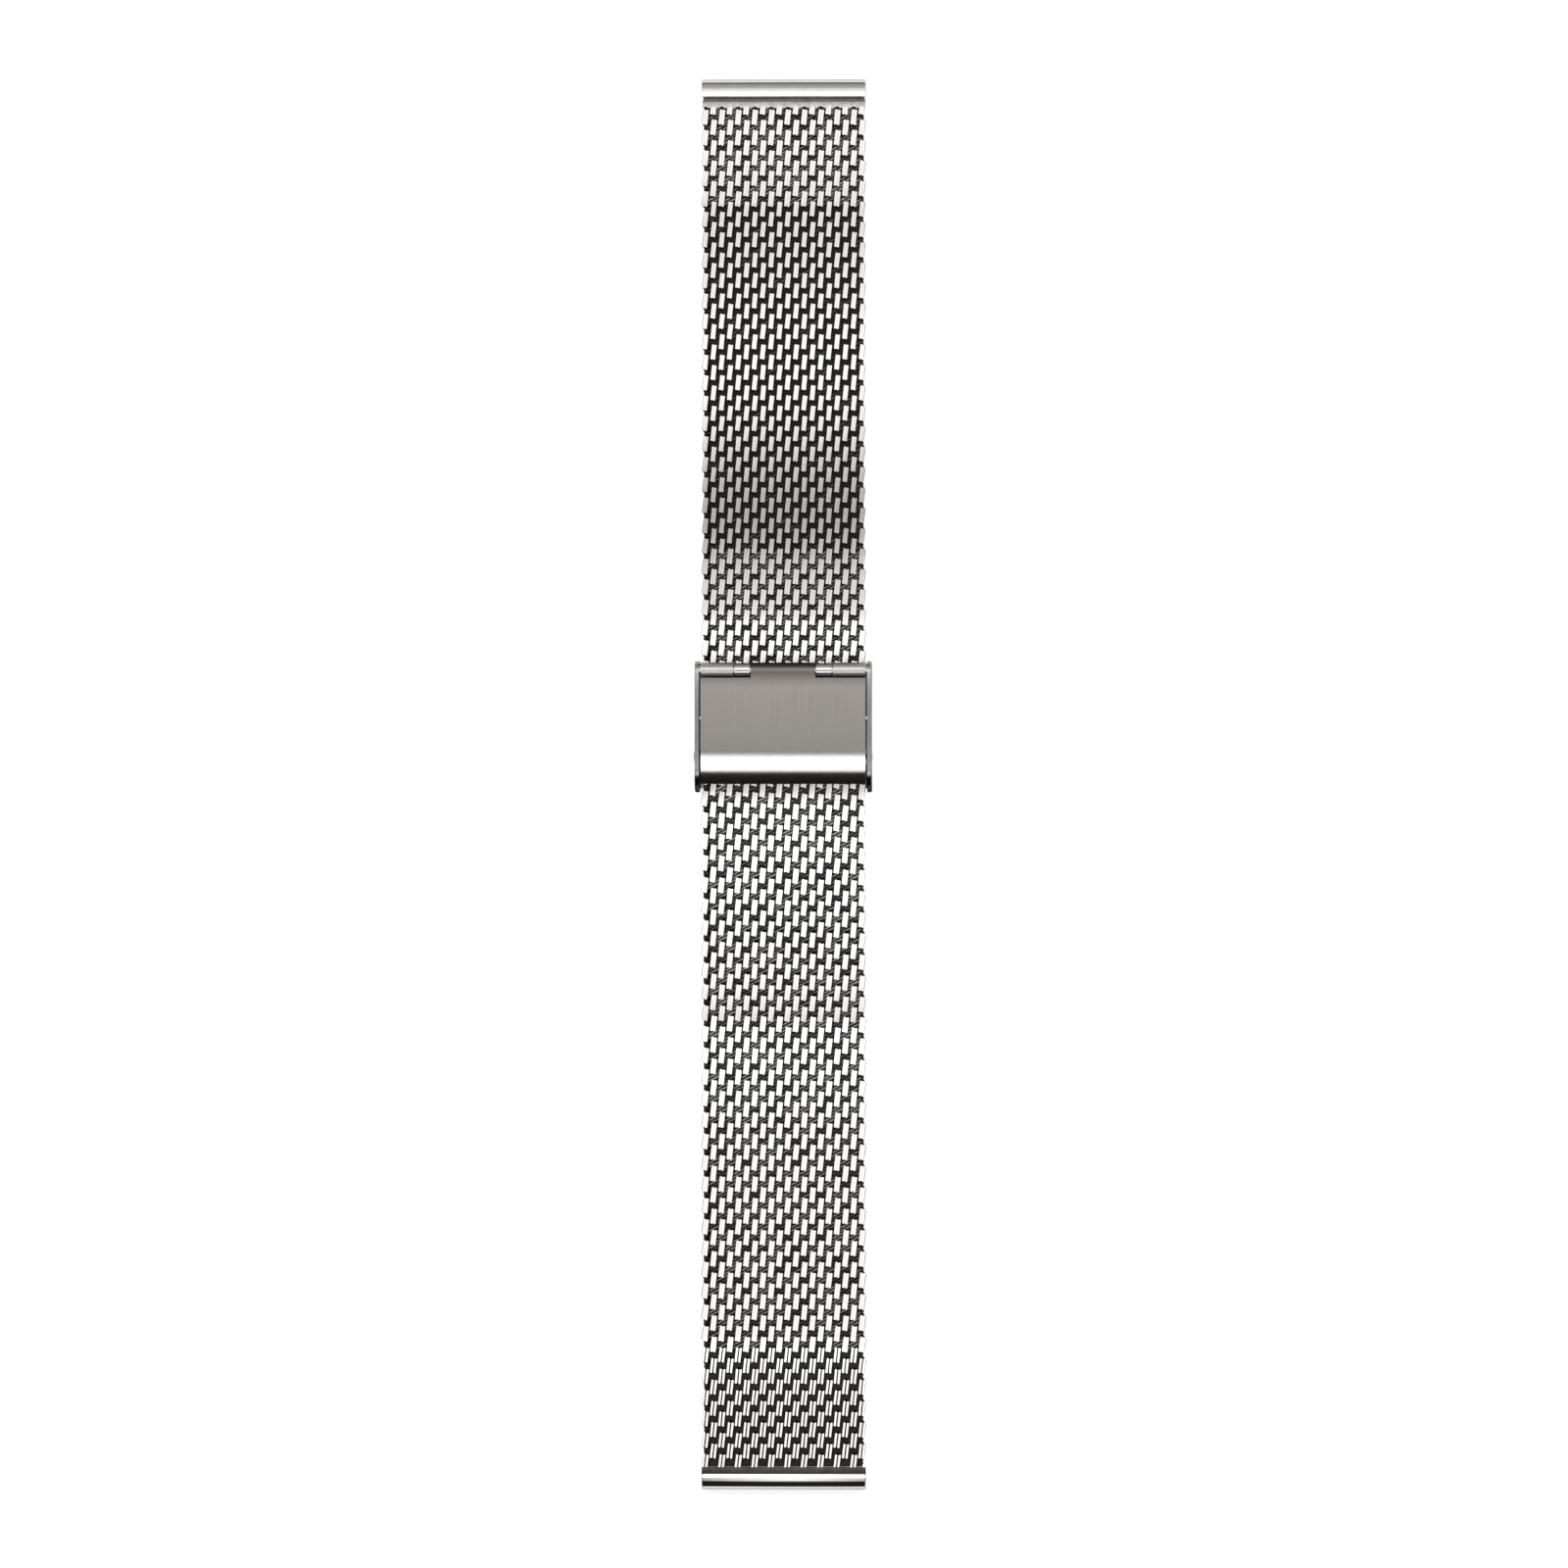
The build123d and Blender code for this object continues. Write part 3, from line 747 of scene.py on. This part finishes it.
# %% [markdown]
# A lug tube is a sheet rolled round the spring bar, and its two edges close on the mesh as a lip. Polished
# as it is, it needs a finer roundness than the solid has, or its reflections break into stripes. One loop of
# edges makes all of it. The loop starts as the bore, is extruded out to the wall, along the tube and back
# into the bore at the other end.

# %% The lug tubes
tube_radius = 1.2 * mm
bore_radius = 0.8 * mm
tube_half = 9.95 * mm
tube_facets = 96
tube_crease = radians(28)
end_facet = 0.22 * mm
end_shrink_share = 0.86
shoulder_shrink_share = 0.96
shoulder_place_share = 0.35
lip_angle = radians(24)
lip_face_angle = lip_angle / 4
lip_foot = 0.36 * mm
lip_edge = 0.07 * mm


def wall_point(angle, reach):
    """A point of the tube's section around its axis: a circle that runs out into the lip near angle 0."""
    across, up = tube_radius * cos(angle), tube_radius * sin(angle)
    if abs(angle) < lip_face_angle:
        return reach, (lip_edge if angle > 0 else lip_foot) * angle / lip_face_angle
    if abs(angle) < lip_angle:
        run = (lip_angle - abs(angle)) / (lip_angle - lip_face_angle)
        drop = lip_foot + (lip_edge - lip_foot) * run if angle > 0 else -lip_foot
        return across + (reach - across) * run, drop
    return across, up


def lug_tube(node_name, toward_mesh):
    """A smooth tube with its lip, in the place of the node. toward_mesh is 1 or -1 along Y."""
    low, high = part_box(node_name)
    axis = low.y + tube_radius if toward_mesh > 0 else high.y - tube_radius
    reach = high.y - low.y - tube_radius
    shell = bmesh.new()
    bmesh.ops.create_circle(shell, segments=tube_facets, radius=bore_radius)
    loop = list(shell.verts)
    angles = [(2 * pi * index / tube_facets + pi) % (2 * pi) - pi for index in range(tube_facets)]

    def set_loop(verts, place, shrink):
        """Puts a loop at a place along the tube: on the shrunk wall, or on the bore if shrink is None."""
        for vertex, angle in zip(verts, angles):
            if shrink is None:
                across, up = bore_radius * cos(angle), bore_radius * sin(angle)
            else:
                across, up = (shrink * value for value in wall_point(angle, reach))
            vertex.co = (place, axis + toward_mesh * across, tube_radius + up)

    set_loop(loop, -tube_half, None)
    shoulder = tube_half - end_facet * shoulder_place_share
    flat = tube_half - end_facet
    rings = [(-tube_half, end_shrink_share), (-shoulder, shoulder_shrink_share), (-flat, 1),
             (flat, 1), (shoulder, shoulder_shrink_share), (tube_half, end_shrink_share),
             (tube_half, None), (-tube_half, None)]
    for place, shrink in rings:
        loop = next_ring(shell, loop)
        set_loop(loop, place, shrink)
    bmesh.ops.remove_doubles(shell, verts=shell.verts, dist=weld_distance)
    bmesh.ops.recalc_face_normals(shell, faces=shell.faces)
    piece = make_piece(f"{node_name}_polished", shell, polished_steel, tube_crease)
    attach(piece, body_of_node[node_name])
    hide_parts(node_name)
    return piece


for node_name, toward_mesh in zip(lug_tubes, (-1, 1)):
    print(node_name, "faces:", len(lug_tube(node_name, toward_mesh).data.polygons))

# %% [markdown]
# The last row of the long strap is soldered into the lip. The solder has run a little way down the wires, so
# a dull strip with a scalloped edge lies between the lip and the first free row. It starts as a flat grid.
# Each point is then moved: the free edge follows the columns of the weave, and the middle stands a little
# higher than the edges.

# %% The solder
solder_run = 0.66 * mm
scallop = 0.2 * mm
solder_top = 2.02 * mm
solder_crown = 0.04 * mm
solder_half = 9.85 * mm
solder_depth = 1 * mm
solder_overlap = 0.02 * mm
solder_unevenness = 0.03 * mm
uneven_scallop_share = 0.6
scallop_slice = 0
rough_slice = 5
solder_columns = 160
solder_lines = 4


def solder_noise(across, run, noise_slice):
    """Noise that changes over about a millimetre across the strip. Each slice is another pattern."""
    return noise.noise(Vector((across / mm, run, noise_slice)))


strip_mesh = bmesh.new()
bmesh.ops.create_grid(strip_mesh, x_segments=solder_columns, y_segments=solder_lines, size=0.5)
lip_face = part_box(lug_tubes[0])[0].y
for vertex in strip_mesh.verts:
    across = 2 * vertex.co.x * solder_half
    run = 0.5 - vertex.co.y
    uneven = uneven_scallop_share * solder_noise(across, 0, scallop_slice)
    wave = cos(2 * pi * across / (turn_pitch / 2)) + uneven
    crown = 1 - (2 * run - 1) ** 2
    along = lip_face - run * (solder_run + scallop * wave / 2) + solder_overlap
    rough = solder_noise(across, run * 2, rough_slice) * solder_unevenness
    vertex.co = (across, along, solder_top - solder_crown * (1 - crown) + rough)
made = bmesh.ops.extrude_face_region(strip_mesh, geom=strip_mesh.faces)
bmesh.ops.translate(strip_mesh, vec=(0, 0, -solder_depth),
                    verts=[item for item in made["geom"] if isinstance(item, bmesh.types.BMVert)])
bmesh.ops.recalc_face_normals(strip_mesh, faces=strip_mesh.faces)
strip = make_piece("long_strap_solder", strip_mesh, solder, crease_angle)
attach(strip, body_of_node[lug_tubes[0]])
print("solder faces:", len(strip.data.polygons))

# %% [markdown]
# On the other lug tube the sheet's edge is rolled down over the last row instead. It shows as a plain strip,
# painted dark as shade, between the wires and the tube's highlight. It is a thin bevelled plate that slopes
# down to the mesh.

# %% The rolled edge of the lower lug
edge_sheet = 0.16 * mm
edge_reach = 0.86 * mm
edge_high = 2.16 * mm
edge_low = 1.98 * mm
edge_half = 9.93 * mm
edge_bevel = 0.04 * mm
square_angle = radians(57)
edge_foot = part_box(lug_tubes[1])[1].y
edge_slope = atan((edge_high - edge_low) / edge_reach)
rolled = bmesh.new()
bmesh.ops.create_cube(rolled, size=1)
bmesh.ops.scale(rolled, verts=rolled.verts, vec=(2 * edge_half, edge_reach, edge_sheet))
bmesh.ops.subdivide_edges(rolled, edges=rolled.edges, cuts=1, use_grid_fill=True)
bmesh.ops.bevel(rolled, geom=[edge for edge in rolled.edges if edge.calc_face_angle(0) > square_angle],
                offset=edge_bevel, segments=2, profile=0.5, affect="EDGES", material=-1)
edge_centre = Vector((0, edge_foot - edge_reach / 2, (edge_high + edge_low - edge_sheet) / 2))
bmesh.ops.transform(rolled, verts=rolled.verts,
                    matrix=Matrix.Translation(edge_centre) @ Matrix.Rotation(-edge_slope, 4, "X"))
bmesh.ops.recalc_face_normals(rolled, faces=rolled.faces)
rolled_edge = make_piece("short_strap_rolled_edge", rolled, shadowed_steel, crease_angle)
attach(rolled_edge, body_of_node[lug_tubes[1]])
print("rolled edge faces:", len(rolled_edge.data.polygons))
